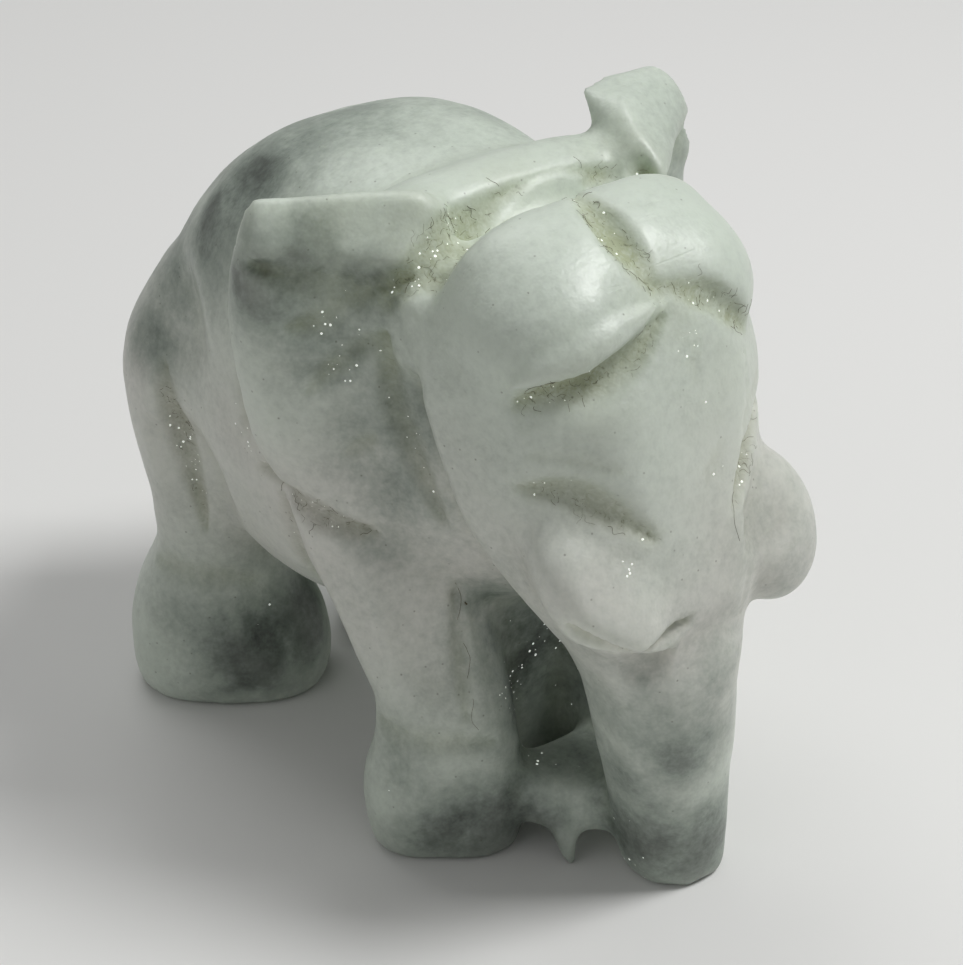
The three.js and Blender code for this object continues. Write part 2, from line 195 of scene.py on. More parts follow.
pairedCuts = [
    ([(9.8, -15.4, 32.2), (7.6, -18, 32.2), (5.6, -20.2, 31.1), (3, -21.8, 29)], 1.3, 0.38, 0.8),
    ([(9.6, -16, 34.6), (7.2, -18.6, 34.4), (5, -20.6, 33.6)], 0.9, 0.15, 0.25),
    ([(13.3, 6.8, 25), (14.4, 2, 25.3), (14, -0.6, 24.9), (11.4, -3.8, 24.1)], 1.5, 0.5, 0.75),
    ([(13.9, 17.4, 28.6), (13.5, 16.9, 25.5), (12.8, 16.6, 21.5), (11.9, 15.9, 15)], 1.4, 0.5, 0.65),
    ([(12.9, 4.5, 24), (12.3, 4.4, 21.2), (11.8, 4.4, 19), (11, 4, 14.6)], 1.1, 0.3, 0.6),
    ([(7.4, -6.6, 20.6), (7.8, -7.7, 15.9), (8.1, -9, 11)], 0.9, 0.3, 0.4),
    ([(16.4, 4.8, 43.5), (15.6, 6, 37), (14, 7.6, 31), (13.4, 7.6, 26.8)], 1, 0.3, 0.5),
    ([(17.6, 0.8, 43.2), (14.9, -1.3, 42.3), (12.6, -3.2, 41.9), (9.6, -5.2, 42.5)], 2.6, 0.75, 0.25),
    ([(11.4, -4.6, 38.8), (10.8, -5.2, 34.4), (10.1, -6.3, 30.4), (9, -7.8, 25.8)], 1.4, 0.5, 0.4),
    ([(12.6, -3.2, 10.2), (11.9, -6, 9.9), (9.8, -8.4, 9.8), (6.5, -10, 9.4)], 1.5, 0.4, 0.2),
    ([(14.6, 21, 11.4), (13.6, 18, 11.2), (11.8, 14.8, 11), (8.6, 12.6, 10.6)], 1.4, 0.35, 0.2),
]
# Drawn-out swells and troughs: path, half width, height over the stone.
swells = [
    ([(-0.5, -16.9, 42.3), (-2.6, -17.5, 42), (-5.2, -17.7, 41.5), (-8, -16.6, 40.4), (-9.6, -14.6, 38.9)],
     1.5, 0.45),
    ([(-8.6, -18.6, 23), (-7.1, -20.7, 21.2), (-5.2, -21.8, 20), (-3.6, -22, 20.1), (-2, -22, 20.8)],
     2.4, -0.85),
]
# Where one form grows out of the next without a step: tusk and cheek, lip and trunk, ear roots and nape.
softSpots = [
    ((-8, -18.6, 27.6), 3.6, 1), ((-8.4, -19, 23.2), 1.7, 1), ((-7.1, -20.9, 21.6), 1.8, 1),
    ((-5.2, -22, 20.4), 1.9, 1), ((-3.6, -22.1, 20.5), 1.9, 1), ((-1.8, -22, 21), 1.9, 1),
    ((0, -21.8, 21.2), 1.9, 1), ((1.8, -21.5, 20.4), 1.8, 1), ((0.4, -22, 22), 1.9, 1),
    ((2.2, -21.6, 21.2), 1.9, 1), ((3.6, -21.3, 20.4), 1.8, 1), ((-7.4, -6, 45), 1.8, 1),
    ((7.4, -6, 45.4), 1.8, 1),
]
# Where a broad olive tint has crept into the stone beside the grooves.
stainZones = [
    ((-12.5, -2.5, 45), 4.5, 0.3), ((-8, -5, 44.5), 4, 0.4), ((0, -5, 46.5), 4, 0.35),
    ((8, -5, 45.5), 4, 0.3), ((0.5, -17, 42), 3, 0.35), ((4, -20, 38), 4, 0.15),
    ((5, -21, 28), 4, 0.25), ((-6, -17.5, 38.8), 3, 0.3),
]
# Ground flats: a place on the stone, how far the flat may reach from it, and how deep it is cut.
singleFlats = [
    ((8.1, -20.1, 27.2), 4, 0.35), ((14.2, -1.7, 45.7), 3, 0.2), ((-1.8, 8.3, 45.1), 6, 0.3),
]
pairedFlats = [
    ((10.3, -13, 34.2), 5, 0.35), ((6.7, -21.1, 26.9), 3, 0.4), ((12.5, -1.3, 46), 5, 0.3),
    ((15, -1, 34), 5, 0.35), ((12.4, 16.7, 19.7), 6, 0.4), ((13.2, 18.1, 30.2), 7, 0.4),
    ((8.7, 13.2, 41.8), 7, 0.3), ((12.9, -2.8, 19.3), 5, 0.35), ((9.4, -6.7, 16.8), 5, 0.4),
    ((12.3, -5.9, 6.5), 3.5, 0.4), ((8.6, -9.8, 5.5), 3.5, 0.35), ((14.1, 18, 5.6), 4.5, 0.45),
    ((8.2, 13.8, 6), 4.5, 0.4), ((6, 24.5, 36), 6, 0.4), ((9.5, 24, 24), 6, 0.4),
]
# Soft round zones: centre, radius, strength. Cloud zones are partly grey-green stone on the back and rump
# and partly painted shade: under the belly, between the legs, in the chest slot, down the trunk, on the
# feet, in the ear hollows, in the recess behind the head and on the far side. Rough ones were never
# polished.
cloudAndShadeZones = [
    ((-6, 11.3, 43.9), 5, 0.6), ((-8.7, 13.2, 41.8), 5, 0.75), ((-11.2, 14.3, 38.5), 5.5, 0.7),
    ((0, 14, 45), 4, 0.5), ((-11.7, 18.8, 33.2), 6, 0.55), ((-13.4, 19.1, 29.9), 4, 0.65),
    ((-3, 19, 41), 8, 0.5), ((-14.9, -1.3, 42.7), 3.6, 1), ((-12, -3.3, 42), 3, 0.9),
    ((-16.8, 0.3, 42.2), 3.6, 1.05), ((-13.4, -2, 38), 3.4, 0.65), ((-0.8, -21, 15), 6, 0.45),
    ((8.5, -19, 24), 4, 0.3), ((-5, -6.8, 19), 2.4, 0.75), ((-4.6, -7.4, 15.2), 2.4, 0.7),
    ((-4.8, -8.9, 12), 2.4, 0.65), ((-3.6, -8.8, 7.5), 3, 0.7), ((-14.6, -1, 39.2), 1.8, 0.6),
    ((-12.6, -3, 37.2), 1.8, 0.6), ((-10.6, -5.2, 33), 4, 0.5), ((-10.7, -4.9, 28), 4, 0.5),
    ((-10.2, -4.6, 23), 4, 0.35), ((-9.7, -9.1, 2.4), 4, 1.1), ((-6.6, -10.5, 2), 5, 1.2),
    ((-11.6, -7, 0.5), 3, 0.7), ((-12, -5.8, 7.2), 4, 0.4), ((-0.4, -21.9, 12.4), 3.2, 0.75),
    ((-1.5, -18.7, 4), 4.5, 1.2), ((1.8, -21, 2.6), 5, 1.1), ((-2.7, -17.9, 9), 3, 0.7),
    ((-8.6, 13.4, 5), 5, 1.1), ((-5.9, 13.4, 6.4), 5, 1.2), ((-12.3, 16.5, 8.2), 4, 0.35),
    ((-11.2, 14.9, 1.6), 4, 0.6), ((0, -9, 12), 8, 1), ((6, 14, 4), 9, 0.9), ((7, -6, 1), 7, 0.8),
    ((9, 16, 40), 10, 0.5), ((15, -2, 40), 6, 0.5), ((0, 4, 12), 8, 0.9), ((4, 27, 24), 8, 0.45),
]
roughZones = [
    ((-13.7, -1.6, 39.4), 1.6, 1.3), ((-13.2, -2.8, 36), 1.6, 1.3), ((-12.2, -3.5, 30.8), 1.8, 1.3),
    ((1.2, -18.2, 40), 1.5, 1.3), ((1.8, -20.5, 32.1), 1.5, 1.3), ((-13.3, 8, 27), 1.6, 1.2),
    ((-13.4, -2.3, 39.5), 3.5, 0.9), ((13.4, -2.3, 39.5), 3.5, 0.7), ((-13.2, -2.6, 36), 2, 0.9),
    ((-12.2, -3.6, 30.4), 1.5, 0.8), ((-10.6, -5.3, 34), 2.5, 0.75), ((-9.7, -6.8, 29), 2.5, 0.75),
    ((-16, 4, 38), 4, 0.6), ((0, -9, 10), 7, 1), ((-1.5, -18.7, 4), 4.5, 0.95),
    ((-11.6, -6.4, 7), 3.5, 0.7), ((-7, -9.5, 6), 3.5, 0.6), ((0, 4, 10), 8, 0.9),
    ((1.3, -19.6, 35.9), 1.8, 0.95), ((1.8, -20.5, 32.1), 1.6, 0.95), ((1.2, -18.2, 40), 1.5, 0.95),
    ((-4.4, -20.8, 27.8), 1.7, 0.9), ((-8, 13.4, 5), 5, 0.75), ((-13.4, 8.4, 28), 2.4, 0.9),
    ((-12.2, -3.5, 30.8), 1.8, 1),
]


def refined(node):
    # the solid again as small squares of one size, so that relief has vertices to move
    mesh = node.data.copy()
    piece = bpy.data.objects.new("elephantCarving", mesh)
    bpy.context.scene.collection.objects.link(piece)
    work = bmesh.new()
    work.from_mesh(mesh)
    bmesh.ops.remove_doubles(work, verts=work.verts, dist=1e-6)
    work.to_mesh(mesh)
    work.free()
    grain = piece.modifiers.new("grain", "REMESH")
    grain.mode = "VOXEL"
    grain.voxel_size = carving["voxel"] * mm
    bpy.context.view_layer.update()
    graph = bpy.context.evaluated_depsgraph_get()
    fine = bpy.data.meshes.new_from_object(piece.evaluated_get(graph))
    piece.modifiers.clear()
    piece.data = fine
    fine.materials.clear()
    return piece


def cutShare(points, normals, path, halfWidth):
    # 1 on the path and 0 at the cut's rim, measured across the surface; the cut comes to a point at both
    # ends. What lies deeper than "under" below the path is another side of the stone.
    under, thinnest = 3.5, 0.15
    route = smoothRoute(path)
    reach = halfWidth * 1.2 + 3
    near = np.where(((points > route.min(0) - reach) & (points < route.max(0) + reach)).all(1))[0]
    gap = points[near, None] - route[None]
    depth = (gap * normals[near, None]).sum(2)
    across = np.sqrt(np.maximum((gap**2).sum(2) - depth**2, 0)) + np.where(np.abs(depth) > under, 50, 0)
    nearest = across.argmin(1)
    taper = np.sin(np.pi * (nearest + 0.5) / len(route)) ** 0.55
    width = halfWidth * np.maximum(taper, thinnest)
    share = np.clip(1 - across[np.arange(len(near)), nearest] / width, 0, 1)
    full = np.zeros(len(points))
    travel = np.zeros(len(points))
    full[near] = share
    travel[near] = nearest / len(route) * np.linalg.norm(np.diff(route, axis=0), axis=1).sum()
    return full, travel


def softStep(share):
    # 0 to 1 with level ends
    return share * share * (3 - 2 * share)


def zoneMask(points, zones):
    # the strongest of the zones' bells: strength times e to the minus square of distance over radius
    mask = np.zeros(len(points))
    for centre, radius, strength in zones:
        mask = np.maximum(mask, strength * np.exp(-(((points - np.array(centre)) / radius) ** 2).sum(1)))
    return mask


elephant = refined(frame["nodes"]["elephant"])
skin = Skin(elephant.data)
print("fine surface", len(skin.points), "vertices", len(skin.quads) * 2, "triangles")

mirror = np.array((-1, 1, 1))
cuts = singleCuts + pairedCuts + [([tuple(mirror * p) for p in path], *rest) for path, *rest in pairedCuts]
broad = skin.normals(skin.spread(skin.points, carving["broadRounds"]))
masks = [cutShare(skin.points, broad, path, width) for path, width, *_ in cuts]
rims = [cutShare(skin.points, broad, path, width * 1.7)[0] for path, width, *_ in cuts]
inCut = np.max([share for share, _ in masks], axis=0)

# ease the facets, less in the cuts and on real ridges, then put back the girth that the easing took
eased = skin.spread(skin.points, carving["edgeRounding"])
facing = skin.normals(eased)
bend = skin.spread(np.linalg.norm(facing - skin.spread(facing, 7), axis=1), 3)
low, high = carving["ridgeBend"]
ridge = np.clip((bend - low) / (high - low), 0, 1)
softSpot = zoneMask(skin.points, softSpots)
nearCut = np.clip(np.max(rims, axis=0) * 5, 0, 1)
ease = (1 - carving["cutHold"] * nearCut) * (1 - carving["ridgeHold"] * ridge * (1 - softSpot))
eased = skin.spread(eased, carving["rounding"], ease)
eased = skin.spread(eased, carving["softRounding"], softSpot)
lost = skin.spread(((skin.points - eased) * broad).sum(1), carving["girthRounds"])
skin.points = eased + broad * (lost * ease)[:, None]
print("facets eased")

# whatever stands over a flat's plane is ground away
mirroredFlats = [(mirror * centre, *rest) for centre, *rest in pairedFlats]
for centre, reach, depth in singleFlats + pairedFlats + mirroredFlats:
    away = np.linalg.norm(skin.points - np.array(centre), axis=1)
    at = away.argmin()
    over = np.clip((skin.points - skin.points[at]) @ broad[at] + depth, 0, None)
    fade = np.clip((reach - away) / (0.45 * reach), 0, 1)
    skin.points -= broad[at] * (carving["flatShare"] * over * softStep(fade))[:, None]
skin.points = skin.spread(skin.points, 3)
normals = skin.normals()
print("flats ground")

# extra depth, cross ridges and dirt in the cuts
dirt = np.zeros(len(skin.points))
sink = np.zeros(len(skin.points))
for (path, width, depth, dirty), (share, travel) in zip(cuts, masks):
    bowl = softStep(share)
    ridges = np.sin(travel * 2 * np.pi / carving["chatterLength"] + 2 * lumps(skin.points, 2, 5))
    sink += bowl * depth + carving["chatter"] * ridges * bowl
    patchy = share * (1.5 + 0.9 * lumps(skin.points, 1.5, 21))
    dirt = np.maximum(dirt, dirty * np.clip(patchy, 0, 1))
dirt = np.maximum(skin.spread(dirt, 4), zoneMask(skin.points, stainZones))
rough = np.maximum(zoneMask(skin.points, roughZones), 0.85 * np.clip(inCut * 2, 0, 1) * (dirt > 0.3))

# gouges that fan out over the hollow of each ear: a sine of the angle round the ear's root
fanMean, fanSwing = carving["fanDepth"]
for side in (-1, 1):
    offset = skin.points - np.array((15.9 * side, -3.7, 37.6))
    angle = np.arctan2(offset[:, 2], offset[:, 0] * side - offset[:, 1])
    inside = np.exp(-((offset / (5, 4.2, 7)) ** 2).sum(1) ** 1.5)
    sink += inside * (fanMean + fanSwing * np.sin(angle * 11 + lumps(skin.points, 3, 8)))

# unevenness of the hand's work, broken grain and the drawn-out swells
wave = carving["waviness"] * (lumps(skin.points, 5.2, 1) + 0.5 * lumps(skin.points, 2.4, 2))
grit = carving["grit"] * (lumps(skin.points, 0.75, 3) + 0.6 * lumps(skin.points, 0.42, 4)) * (rough + 0.22)
grit += carving["ripple"] * lumps(skin.points, 1.4, 14)
for path, width, height in swells:
    sink -= height * softStep(cutShare(skin.points, broad, path, width)[0])
skin.points += normals * (wave + grit - sink)[:, None]

# the underside stays flat where the solid is flat
skin.points[:, 2] = np.maximum(skin.points[:, 2], 0)
far = skin.spread(skin.points, carving["hollowRounds"])
hollow = np.clip(((far - skin.points) * skin.normals(far)).sum(1) / 0.7, -1, 1)
skin.write()
skin.keep("dirt", dirt * (0.75 + 0.35 * lumps(skin.points, 2.3, 6)))
skin.keep("rough", rough * (0.75 + 0.5 * lumps(skin.points, 3.1, 7)))

# clouds of grey-green stone and painted shade: soft zones, drift, and wisps drawn out along the pebble's
# grain
bent = skin.points + 1.3 * np.stack([lumps(skin.points, 3.2, 20 + k) for k in range(3)], axis=1)
grain = bent @ np.array(((0.83, 0.2, -0.5), (-0.45, 0.4, -0.3), (0.33, 0.25, 0.8)))
wispSizes = ((3.6, 0.24), (1.7, 0.13), (0.85, 0.07), (0.45, 0.04))  # size and strength
wisps = sum(strength * lumps(grain, size, 30 + k) for k, (size, strength) in enumerate(wispSizes))
cloudedAndShaded = zoneMask(skin.points, cloudAndShadeZones)
wisps *= 0.35 + 0.65 * np.clip(cloudedAndShaded * 1.6, 0, 1)  # the light stone has hardly any
skin.keep("cloudAndShade", 0.2 + 0.75 * cloudedAndShaded + 0.08 * lumps(skin.points, 9, 9) + wisps)
lowness = np.exp(-(((skin.points[:, 2] - 23) / 12) ** 2))  # the stone is greener at the top and the feet
skin.keep("lilac", lowness * (0.85 + 0.35 * lumps(skin.points, 6, 15)))
skin.keep("buffed", 0.5 + 0.5 * lumps(skin.points, 5.5, 10))
skin.keep("hollow", np.maximum(hollow, 0))
skin.keep("ridge", np.maximum(-hollow, 0))
elephant.data.polygons.foreach_set("use_smooth", np.ones(len(elephant.data.polygons), bool))
print("relief carved")


def nodeGroup(name, inputs, outputs):
    # an empty shader group with named sockets
    tree = bpy.data.node_groups.new(name, "ShaderNodeTree")
    for label, kind, value in inputs:
        socket = tree.interface.new_socket(label, in_out="INPUT", socket_type=kind)
        if value is not None:
            socket.default_value = value
    for label, kind in outputs:
        tree.interface.new_socket(label, in_out="OUTPUT", socket_type=kind)
    return tree, tree.nodes.new("NodeGroupInput").outputs, tree.nodes.new("NodeGroupOutput").inputs


def put(tree, kind, **settings):
    # a node whose settings are its own properties, or its sockets by name with _ for a space
    node = tree.nodes.new("ShaderNode" + kind)
    for key, value in settings.items():
        if hasattr(node, key):
            setattr(node, key, value)
        else:
            node.inputs[key.replace("_", " ")].default_value = value
    return node


def sums(tree, operation, first, second=0.0, clamp=False):
    # one step of arithmetic on two sockets or numbers
    node = tree.nodes.new("ShaderNodeMath")
    node.operation = operation
    node.use_clamp = clamp
    for socket, value in zip(node.inputs, (first, second)):
        if isinstance(value, (int, float)):
            socket.default_value = value
        else:
            tree.links.new(value, socket)
    return node.outputs[0]


def ramp(tree, source, low, high, toLow=0.0, toHigh=1.0):
    # a value eased from one range to another
    node = put(tree, "MapRange", interpolation_type="SMOOTHSTEP")
    tree.links.new(source, node.inputs["Value"])
    for key, value in (("From Min", low), ("From Max", high), ("To Min", toLow), ("To Max", toHigh)):
        node.inputs[key].default_value = value
    return node.outputs["Result"]


def blendOf(tree, share, first, second):
    # the first colour at share 0 and the second at share 1
    node = tree.nodes.new("ShaderNodeMix")
    node.data_type = "RGBA"
    for socket, value in ((node.inputs[0], share), (node.inputs[6], first), (node.inputs[7], second)):
        if isinstance(value, (tuple, float)):
            socket.default_value = value
        else:
            tree.links.new(value, socket)
    return node.outputs[2]


def noiseOf(tree, place, scale, detail=3.0, roughness=0.55, distortion=0.0):
    node = put(tree, "TexNoise", Scale=scale, Detail=detail, Roughness=roughness, Distortion=distortion)
    tree.links.new(place, node.inputs["Vector"])
    return node.outputs[0]


def cloudAndShadeGroup():
    # from light green or lilac stone to the dark along the mask of grey-green clouds and painted shade,
    # with small milky flecks
    tree, given, result = nodeGroup("jade clouds and painted shade", [
        ("Place", "NodeSocketVector", None),
        ("Cloud", "NodeSocketFloat", 0.0),
        ("Lowness", "NodeSocketFloat", 0.0),
        ("Light", "NodeSocketColor", None),
        ("Lilac", "NodeSocketColor", None),
        ("Middle", "NodeSocketColor", None),
        ("Dark", "NodeSocketColor", None),
    ], [("Color", "NodeSocketColor")])
    light = blendOf(tree, given["Lowness"], given["Light"], given["Lilac"])
    flecks = noiseOf(tree, given["Place"], 1500, 2, 0.75)
    fleck = sums(tree, "MULTIPLY", sums(tree, "SUBTRACT", flecks, 0.5), 0.45)
    shade = sums(tree, "ADD", given["Cloud"], fleck)
    tone = blendOf(tree, ramp(tree, shade, 0.03, 0.9), light, given["Middle"])
    tone = blendOf(tree, ramp(tree, shade, 0.69, 1.17), tone, given["Dark"])
    tree.links.new(tone, result["Color"])
    return tree


def dirtGroup():
    # dirt lies where the cuts and hollows are, in grains
    tree, given, result = nodeGroup("groove dirt", [
        ("Place", "NodeSocketVector", None),
        ("Dirt", "NodeSocketFloat", 0.0),
        ("Hollow", "NodeSocketFloat", 0.0),
    ], [("Stain", "NodeSocketFloat"), ("Grains", "NodeSocketFloat")])
    fibred = put(tree, "Mapping")
    fibred.inputs["Rotation"].default_value = (0.4, 0.9, 0.3)
    fibred.inputs["Scale"].default_value = (1.0, 0.35, 1.0)
    tree.links.new(given["Place"], fibred.inputs["Vector"])
    grains = noiseOf(tree, fibred.outputs[0], 3000, 2, 0.6, 0.9)
    bed = sums(tree, "ADD", given["Dirt"], sums(tree, "MULTIPLY", given["Hollow"], 0.5))
    stain = sums(tree, "MULTIPLY", bed, ramp(tree, grains, 0.25, 0.6, 0.6, 1.0), clamp=True)
    loose = sums(tree, "MULTIPLY", ramp(tree, grains, 0.6, 0.76), ramp(tree, bed, 0.2, 0.8))
    tree.links.new(stain, result["Stain"])
    tree.links.new(loose, result["Grains"])
    return tree


def paintedGlintSpeckGroup():
    # painted glints: where the stone is unpolished, one cell in a few is painted white and made to glow,
    # standing in for a crystal face that catches the light, and everywhere one cell in seventy holds a dark
    # speck
    tree, given, result = nodeGroup("painted glints and specks", [
        ("Place", "NodeSocketVector", None), ("Rough", "NodeSocketFloat", 0.0),
    ], [("PaintedGlint", "NodeSocketFloat"), ("Speck", "NodeSocketFloat")])
    cells = put(tree, "TexVoronoi", Scale=3700.0)
    tree.links.new(given["Place"], cells.inputs["Vector"])
    parts = put(tree, "SeparateColor")
    tree.links.new(cells.outputs["Color"], parts.inputs[0])
    often = sums(tree, "MULTIPLY", ramp(tree, given["Rough"], 0.4, 1.0), 0.42)
    picked = sums(tree, "GREATER_THAN", parts.outputs[0], sums(tree, "SUBTRACT", 1.0, often))
    radius = sums(tree, "ADD", 0.06, sums(tree, "MULTIPLY", parts.outputs[2], 0.3))
    core = sums(tree, "LESS_THAN", cells.outputs["Distance"], radius)
    tree.links.new(sums(tree, "MULTIPLY", picked, core), result["PaintedGlint"])
    dark = sums(tree, "GREATER_THAN", parts.outputs[1], 0.986)
    dot = ramp(tree, cells.outputs["Distance"], 0.1, 0.4, 1.0, 0.0)
    tree.links.new(sums(tree, "MULTIPLY", dark, dot), result["Speck"])
    return tree


def reliefGroup():
    # the finest relief as a normal: long polishing scratches, and pits in unpolished stone
    tree, given, result = nodeGroup("stone relief", [
        ("Place", "NodeSocketVector", None),
        ("Rough", "NodeSocketFloat", 0.0),
        ("Buffed", "NodeSocketFloat", 0.5),
    ], [("Normal", "NodeSocketVector"), ("Scratch", "NodeSocketFloat")])
    turned = put(tree, "Mapping")
    turned.inputs["Rotation"].default_value = (0.9, -0.35, 0.5)
    turned.inputs["Scale"].default_value = (0.05, 1.0, 1.0)
    tree.links.new(given["Place"], turned.inputs["Vector"])
    scratches = noiseOf(tree, turned.outputs[0], 2600, 1, 0.6)
    buffed = ramp(tree, given["Buffed"], 0.45, 0.6)
    scratch = sums(tree, "MULTIPLY", ramp(tree, scratches, 0.58, 0.7), buffed)
    pits = noiseOf(tree, given["Place"], 2600, 1, 0.7)
    height = sums(tree, "MULTIPLY", pits, sums(tree, "ADD", given["Rough"], 0.5))
    height = sums(tree, "SUBTRACT", height, sums(tree, "MULTIPLY", scratch, 0.16))
    bump = put(tree, "Bump", Strength=0.55, Distance=0.00009)
    tree.links.new(height, bump.inputs["Height"])
    tree.links.new(bump.outputs[0], result["Normal"])
    tree.links.new(scratch, result["Scratch"])
    return tree


stone = {
    "light": (0.585, 0.655, 0.57, 1),
    "lilac": (0.66, 0.65, 0.6, 1),
    "middle": (0.2, 0.238, 0.203, 1),
    "dark": (0.042, 0.051, 0.042, 1),
    "paintedRidgeHighlight": (0.62, 0.67, 0.6, 1),
    "stain": (0.25, 0.275, 0.12, 1),
    "lowStain": (0.2, 0.195, 0.14, 1),
    "grain": (0.07, 0.068, 0.04, 1),
    # the white and the glow of the painted glints
    "paintedGlintWhite": (0.95, 0.97, 0.92, 1),
    "paintedGlintGlowColor": (0.9, 0.95, 0.88, 1),
    "paintedGlintGlowStrength": 0.5,
    "roughness": 0.41,
    "glow": 1.1,  # how far light travels inside, in mm
}


def jadeMaterial():
    # clouded stone with painted shade, then a painted highlight on the ridges, stain, grains, specks and
    # painted glints over it
    made = bpy.data.materials.new("jadeite")
    made.use_nodes = True
    tree = made.node_tree
    surface = tree.nodes["Principled BSDF"]
    place = tree.nodes.new("ShaderNodeTexCoord").outputs["Object"]
    mask = {}
    for name in ("dirt", "rough", "cloudAndShade", "lilac", "hollow", "ridge", "buffed"):
        mask[name] = put(tree, "Attribute", attribute_name=name).outputs["Fac"]

    def use(group, **given):
        node = tree.nodes.new("ShaderNodeGroup")
        node.node_tree = group
        tree.links.new(place, node.inputs["Place"])
        for key, value in given.items():
            if isinstance(value, tuple):
                node.inputs[key].default_value = value
            else:
                tree.links.new(value, node.inputs[key])
        return node.outputs

    tones = {name.capitalize(): stone[name] for name in ("light", "lilac", "middle", "dark")}
    cloudsAndShade = use(cloudAndShadeGroup(), Cloud=mask["cloudAndShade"], Lowness=mask["lilac"], **tones)
    dirtOut = use(dirtGroup(), Dirt=mask["dirt"], Hollow=mask["hollow"])
    relief = use(reliefGroup(), Rough=mask["rough"], Buffed=mask["buffed"])
    paintedGlintsAndSpecks = use(paintedGlintSpeckGroup(), Rough=mask["rough"])

    # painted highlight: the ridges are blended towards a paler tone
    colour = blendOf(tree, sums(tree, "MULTIPLY", mask["ridge"], 0.5), cloudsAndShade["Color"], stone["paintedRidgeHighlight"])
    stain = blendOf(tree, mask["lilac"], stone["stain"], stone["lowStain"])
    colour = blendOf(tree, sums(tree, "MULTIPLY", dirtOut["Stain"], 0.7), colour, stain)
    colour = blendOf(tree, sums(tree, "MULTIPLY", dirtOut["Grains"], 0.55), colour, stone["grain"])
    colour = blendOf(tree, sums(tree, "MULTIPLY", paintedGlintsAndSpecks["Speck"], 0.5), colour, stone["grain"])
    # painted glints: white spots in the base colour
    colour = blendOf(tree, paintedGlintsAndSpecks["PaintedGlint"], colour, stone["paintedGlintWhite"])
    tree.links.new(colour, surface.inputs["Base Color"])

    dull = sums(tree, "ADD", stone["roughness"], sums(tree, "MULTIPLY", mask["rough"], 0.34))
    dull = sums(tree, "ADD", dull, sums(tree, "MULTIPLY", dirtOut["Stain"], 0.2))
    dull = sums(tree, "ADD", dull, sums(tree, "MULTIPLY", relief["Scratch"], 0.12))
    bright = sums(tree, "SUBTRACT", 1.0, sums(tree, "MULTIPLY", paintedGlintsAndSpecks["PaintedGlint"], 0.6))
    dull = sums(tree, "MULTIPLY", dull, bright, clamp=True)
    tree.links.new(dull, surface.inputs["Roughness"])
    tree.links.new(relief["Normal"], surface.inputs["Normal"])
    surface.subsurface_method = "BURLEY"
    surface.inputs["IOR"].default_value = 1.6
    surface.inputs["Subsurface Weight"].default_value = 0.6
    surface.inputs["Subsurface Radius"].default_value = (1.0, 1.1, 0.85)
    surface.inputs["Subsurface Scale"].default_value = stone["glow"] * mm
    # the painted glints glow
    paintedGlintGlow = sums(tree, "MULTIPLY", paintedGlintsAndSpecks["PaintedGlint"], stone["paintedGlintGlowStrength"])
    tree.links.new(paintedGlintGlow, surface.inputs["Emission Strength"])
    surface.inputs["Emission Color"].default_value = stone["paintedGlintGlowColor"]
    return made


# fine brown hairs caught where the stone was never polished, and the stone's own dark cracks
lint = {
    "count": 430,
    "length": (0.3, 1.2),
    "radius": (0.006, 0.014),
    "curl": (0.05, 0.2),  # how far a hair swings out
    "swing": (0.5, 1.2),  # length of one swing
    "leastDirt": 0.36,  # hairs start only where there is more dirt than this
    "seed": 4,
    "corners": 5,
    "color": (0.11, 0.095, 0.058, 1),
    "cracks": [  # radius and path
        (0.014, [(-7.3, -6.6, 20.4), (-7.1, -7, 19.2), (-7.6, -7.3, 17.8)]),
        (0.014, [(-7.6, -7.8, 16.2), (-7.2, -8, 15.1), (-7.8, -8.3, 13.9)]),
        (0.012, [(-7.6, -8.9, 12.6), (-7.9, -9.1, 11.2), (-7.5, -9.3, 10.4)]),
        (0.06, [(-6.85, -7, 18.9), (-6.8, -7.02, 18.8), (-6.75, -7.05, 18.72)]),
        (0.012, [(3.6, -21.2, 30), (3, -21.5, 28.4), (3.4, -21.9, 26.8)]),
    ],
}


def laidTube(route, radius, facing):
    # rings round a line that is drawn onto the nearest stone: side times cosine plus up times sine
    close = np.where(((skin.points > route.min(0) - 2) & (skin.points < route.max(0) + 2)).all(1))[0]
    nearest = close[np.linalg.norm(skin.points[close][None] - route[:, None], axis=2).argmin(1)]
    up = facing[nearest]
    route = route + up * (((skin.points[nearest] - route) * up).sum(1) + radius * 0.6)[:, None]
    route[1:-1] = (route[:-2] + 2 * route[1:-1] + route[2:]) / 4
    run = np.gradient(route, axis=0)
    run /= np.linalg.norm(run, axis=1)[:, None]
    side = np.cross(run, up)
    side /= np.linalg.norm(side, axis=1)[:, None]
    over = np.cross(side, run)
    turn = np.linspace(0, 2 * np.pi, lint["corners"], endpoint=False)
    ring = side[:, None] * np.cos(turn)[None, :, None] + over[:, None] * np.sin(turn)[None, :, None]
    return (route[:, None] + radius * ring).reshape(-1, 3)


def tubeFaces(first, vertices):
    # four-sided faces between each ring and the next, and a cap on both ends
    around = lint["corners"]
    here = np.arange(around)
    after = (here + 1) % around
    ring = first + np.arange(0, vertices - around, around)[:, None]
    walls = np.stack([ring + here, ring + after, ring + around + after, ring + around + here], axis=2)
    caps = [(first + here[::-1]).tolist(), (first + vertices - around + here).tolist()]
    return walls.reshape(-1, 4).tolist() + caps


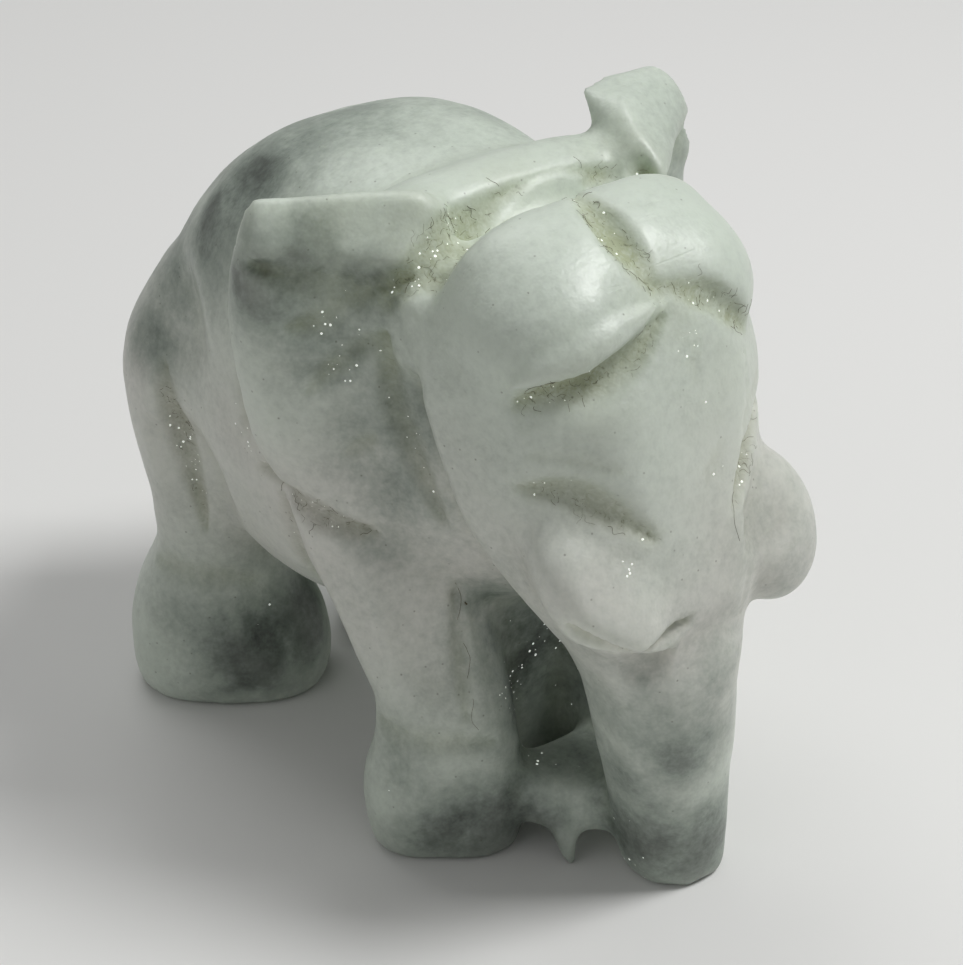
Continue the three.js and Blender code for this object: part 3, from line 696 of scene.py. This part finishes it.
def lintPiece():
    # a hair starts at a dirty vertex and swings to and fro along the stone
    chance = np.random.default_rng(lint["seed"])
    dirty = np.where(dirt * (0.8 + 0.4 * lumps(skin.points, 2.3, 6)) > lint["leastDirt"])[0]
    facing = skin.normals()
    tubes = [laidTube(smoothRoute(path, 20), radius, facing) for radius, path in lint["cracks"]]
    for start in chance.choice(dirty, lint["count"], replace=False):
        ahead = np.cross(facing[start], chance.normal(size=3))
        ahead /= np.linalg.norm(ahead)
        reach = np.linspace(0, chance.uniform(*lint["length"]), 12)[:, None]
        rate = 2 * np.pi / chance.uniform(*lint["swing"])
        bow = chance.uniform(*lint["curl"]) * np.sin(reach * rate + chance.uniform(0, 6)) + 0.3 * reach**2
        route = skin.points[start] + ahead * reach + np.cross(facing[start], ahead) * bow
        tubes.append(laidTube(route, chance.uniform(*lint["radius"]), facing))
    faces, first = [], 0
    for tube in tubes:
        faces += tubeFaces(first, len(tube))
        first += len(tube)
    mesh = bpy.data.meshes.new("grooveLint")
    mesh.from_pydata(((np.concatenate(tubes) + datum) * mm).tolist(), [], faces)
    work = bmesh.new()
    work.from_mesh(mesh)
    bmesh.ops.recalc_face_normals(work, faces=work.faces)
    work.to_mesh(mesh)
    work.free()
    piece = bpy.data.objects.new("grooveLint", mesh)
    bpy.context.scene.collection.objects.link(piece)
    return piece


fibres = lintPiece()
dust = bpy.data.materials.new("lint")
dust.use_nodes = True
dust.node_tree.nodes["Principled BSDF"].inputs["Base Color"].default_value = lint["color"]
dust.node_tree.nodes["Principled BSDF"].inputs["Roughness"].default_value = 0.8
fibres.data.materials.append(dust)
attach(fibres, "root")
print("lint laid")

elephant.data.materials.append(jadeMaterial())
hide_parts("elephant")
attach(elephant, "root")
print("stone painted")


studio = {
    "floor": (0.78, 0.78, 0.765, 1),
    "floorHalf": 3,  # in metres, as the lamps' sizes and distance are
    "world": 0.24,
    "lampDistance": 0.42,
    "key": (1.15, 50, 58, 0.13),  # power in watts, azimuth, elevation, size in metres
    "fill": (0.12, -80, 35, 0.3),
    "back": (0.35, 170, 62, 0.22),
}

camera = {
    "azimuth": -38,
    "elevation": 31,
    "distance": 200,
    "target": (0, 0, 22),
    "pixelsPerMm": 15,
    "width": 963,
}


def towards(azimuth, elevation):
    # the direction from the object to the viewer or lamp
    a, e = math.radians(azimuth), math.radians(elevation)
    return Vector((math.sin(a) * math.cos(e), -math.cos(a) * math.cos(e), math.sin(e)))


def aim(thing, spot, target):
    # a lamp or camera at the spot, looking at the target
    thing.location = spot
    thing.rotation_euler = (target - spot).to_track_quat("-Z", "Y").to_euler()
    bpy.context.scene.collection.objects.link(thing)


target = Vector([t + d for t, d in zip(camera["target"], datum)]) * mm
for name in ("key", "fill", "back"):
    power, azimuth, elevation, size = studio[name]
    lamp = bpy.data.lights.new(name, "AREA")
    lamp.energy = power
    lamp.size = size
    spot = target + towards(azimuth, elevation) * studio["lampDistance"]
    aim(bpy.data.objects.new(name + "Lamp", lamp), spot, target)

lens = bpy.data.cameras.new("camera")
lens.lens = lens.sensor_width * camera["pixelsPerMm"] * camera["distance"] / camera["width"]
lens.clip_start = 0.01
eye = bpy.data.objects.new("camera", lens)
aim(eye, target + towards(camera["azimuth"], camera["elevation"]) * camera["distance"] * mm, target)
bpy.context.scene.camera = eye

world = bpy.data.worlds.new("studio")
world.use_nodes = True
world.node_tree.nodes["Background"].inputs[0].default_value = (1.0, 1.0, 1.0, 1)
world.node_tree.nodes["Background"].inputs[1].default_value = studio["world"]
bpy.context.scene.world = world
bpy.context.scene.view_settings.view_transform = "Standard"

floorMesh = bpy.data.meshes.new("floor")
half = studio["floorHalf"]
floorCorners = [(-half, -half, 0), (half, -half, 0), (half, half, 0), (-half, half, 0)]
floorMesh.from_pydata(floorCorners, [], [(0, 1, 2, 3)])
floor = bpy.data.objects.new("floor", floorMesh)
bpy.context.scene.collection.objects.link(floor)
paper = bpy.data.materials.new("floor")
paper.use_nodes = True
paper.node_tree.nodes["Principled BSDF"].inputs["Base Color"].default_value = studio["floor"]
paper.node_tree.nodes["Principled BSDF"].inputs["Roughness"].default_value = 0.7
floorMesh.materials.append(paper)
print("studio set")
